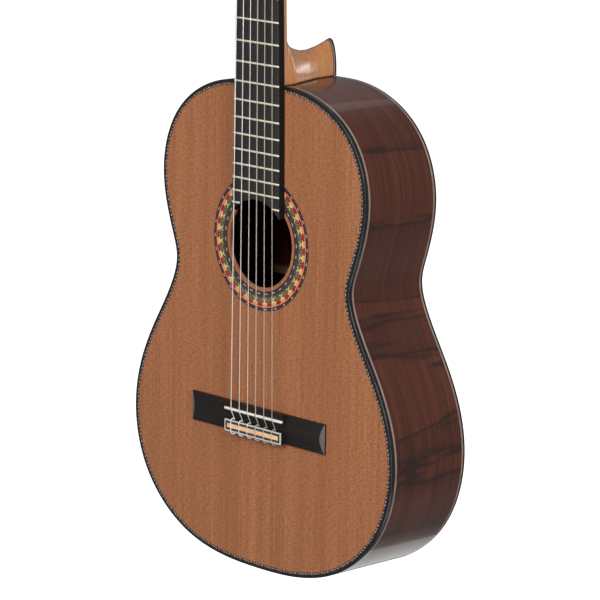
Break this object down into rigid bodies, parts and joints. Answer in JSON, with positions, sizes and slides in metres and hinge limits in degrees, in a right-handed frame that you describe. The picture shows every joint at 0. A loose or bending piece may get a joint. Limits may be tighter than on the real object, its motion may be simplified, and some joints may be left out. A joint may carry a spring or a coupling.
{
  "type": "classical guitar",
  "caption": "Nylon-string classical guitar with a cedar top, dark ribs, mosaic rosette, slotted head and geared tuning machines that turn.",
  "frame": {"origin": "where a wall hanger holds the neck: on the centre line, in the plane of the soundboard, at the nut", "axes": "+Z along the neck from the body to the head, -Y out of the soundboard, +X towards the treble side"},
  "size_m": [0.374, 0.1174, 1.0021],
  "materials": {
    "cedar_top": "open cedar, satin-gloss lacquer",
    "mosaic": "wood mosaic inlay under lacquer",
    "rosewood": "dark rosewood, high gloss lacquer",
    "binding": "near-black wood, gloss lacquer",
    "spruce": "bare spruce",
    "neck_cedar": "light cedar, gloss lacquer",
    "veneer": "light maple line",
    "ebony": "bare dark fingerboard wood",
    "bone": "polished bone",
    "tie_inlay": "light wood panel in a bone frame",
    "fret_metal": "polished pale nickel brass",
    "nylon": "clear nylon",
    "wound_string": "silvered wire winding",
    "machine_brass": "lacquered brass",
    "machine_steel": "nickel-plated steel",
    "pearl": "pearl-white plastic",
    "roller_bone": "white plastic sleeve on a steel axle"
  },
  "bodies": {
    "guitar": {"soundboard": "cedar_top", "rosette": "mosaic", "purfling_top": "mosaic", "binding_top": "binding", "binding_back": "binding", "back_strip": "binding", "end_graft": "binding", "side_bass": "rosewood", "side_treble": "rosewood", "back_bass": "rosewood", "back_treble": "rosewood", "bridge": "rosewood", "lining_top": "spruce", "lining_back": "spruce", "tail_block": "spruce", "fan_bracing": "spruce", "harmonic_bar_upper": "spruce", "harmonic_bar_lower": "spruce", "back_bracing": "spruce", "neck": "neck_cedar", "heel_veneer": "veneer", "heel_cap": "ebony", "fingerboard": "ebony", "head_veneer": "ebony", "nut": "bone", "saddle": "bone", "tie_block_inlay": "tie_inlay", "frets": "fret_metal", "string_1": "nylon", "string_2": "nylon", "string_3": "nylon", "string_4": "wound_string", "string_5": "wound_string", "string_6": "wound_string", "tuner_plate_bass": "machine_brass", "tuner_plate_treble": "machine_brass"},
    "knob_bass_1": {"tuner_worm_bass_1": "machine_steel", "tuner_button_bass_1": "pearl"},
    "roller_bass_1": {"tuner_gear_bass_1": "machine_brass", "tuner_roller_bass_1": "roller_bone"},
    "knob_bass_2": {"tuner_worm_bass_2": "machine_steel", "tuner_button_bass_2": "pearl"},
    "roller_bass_2": {"tuner_gear_bass_2": "machine_brass", "tuner_roller_bass_2": "roller_bone"},
    "knob_bass_3": {"tuner_worm_bass_3": "machine_steel", "tuner_button_bass_3": "pearl"},
    "roller_bass_3": {"tuner_gear_bass_3": "machine_brass", "tuner_roller_bass_3": "roller_bone"},
    "knob_treble_1": {"tuner_worm_treble_1": "machine_steel", "tuner_button_treble_1": "pearl"},
    "roller_treble_1": {"tuner_gear_treble_1": "machine_brass", "tuner_roller_treble_1": "roller_bone"},
    "knob_treble_2": {"tuner_worm_treble_2": "machine_steel", "tuner_button_treble_2": "pearl"},
    "roller_treble_2": {"tuner_gear_treble_2": "machine_brass", "tuner_roller_treble_2": "roller_bone"},
    "knob_treble_3": {"tuner_worm_treble_3": "machine_steel", "tuner_button_treble_3": "pearl"},
    "roller_treble_3": {"tuner_gear_treble_3": "machine_brass", "tuner_roller_treble_3": "roller_bone"}
  },
  "joints": [
    {"name": "knob_turn_bass_1", "type": "hinge", "parent": "guitar", "child": "knob_bass_1", "pos_m": [-0.0413, 0.01475, 0.04601], "axis": [0, 0.9659, -0.2588], "continuous": true},
    {"name": "roller_turn_bass_1", "type": "hinge", "parent": "guitar", "child": "roller_bass_1", "pos_m": [0, 0.01675, 0.0535], "axis": [1, 0, 0], "continuous": true},
    {"name": "knob_turn_bass_2", "type": "hinge", "parent": "guitar", "child": "knob_bass_2", "pos_m": [-0.0413, 0.0238, 0.07982], "axis": [0, 0.9659, -0.2588], "continuous": true},
    {"name": "roller_turn_bass_2", "type": "hinge", "parent": "guitar", "child": "roller_bass_2", "pos_m": [0, 0.02581, 0.08731], "axis": [1, 0, 0], "continuous": true},
    {"name": "knob_turn_bass_3", "type": "hinge", "parent": "guitar", "child": "knob_bass_3", "pos_m": [-0.0413, 0.03286, 0.11363], "axis": [0, 0.9659, -0.2588], "continuous": true},
    {"name": "roller_turn_bass_3", "type": "hinge", "parent": "guitar", "child": "roller_bass_3", "pos_m": [0, 0.03487, 0.12111], "axis": [1, 0, 0], "continuous": true},
    {"name": "knob_turn_treble_1", "type": "hinge", "parent": "guitar", "child": "knob_treble_1", "pos_m": [0.0413, 0.01475, 0.04601], "axis": [0, 0.9659, -0.2588], "continuous": true},
    {"name": "roller_turn_treble_1", "type": "hinge", "parent": "guitar", "child": "roller_treble_1", "pos_m": [0, 0.01675, 0.0535], "axis": [1, 0, 0], "continuous": true},
    {"name": "knob_turn_treble_2", "type": "hinge", "parent": "guitar", "child": "knob_treble_2", "pos_m": [0.0413, 0.0238, 0.07982], "axis": [0, 0.9659, -0.2588], "continuous": true},
    {"name": "roller_turn_treble_2", "type": "hinge", "parent": "guitar", "child": "roller_treble_2", "pos_m": [0, 0.02581, 0.08731], "axis": [1, 0, 0], "continuous": true},
    {"name": "knob_turn_treble_3", "type": "hinge", "parent": "guitar", "child": "knob_treble_3", "pos_m": [0.0413, 0.03286, 0.11363], "axis": [0, 0.9659, -0.2588], "continuous": true},
    {"name": "roller_turn_treble_3", "type": "hinge", "parent": "guitar", "child": "roller_treble_3", "pos_m": [0, 0.03487, 0.12111], "axis": [1, 0, 0], "continuous": true}
  ],
  "couplings": [
    {"joint": "roller_turn_bass_1", "follows": "knob_turn_bass_1", "ratio": -0.071429},
    {"joint": "roller_turn_bass_2", "follows": "knob_turn_bass_2", "ratio": -0.071429},
    {"joint": "roller_turn_bass_3", "follows": "knob_turn_bass_3", "ratio": -0.071429},
    {"joint": "roller_turn_treble_1", "follows": "knob_turn_treble_1", "ratio": -0.071429},
    {"joint": "roller_turn_treble_2", "follows": "knob_turn_treble_2", "ratio": -0.071429},
    {"joint": "roller_turn_treble_3", "follows": "knob_turn_treble_3", "ratio": -0.071429}
  ]
}
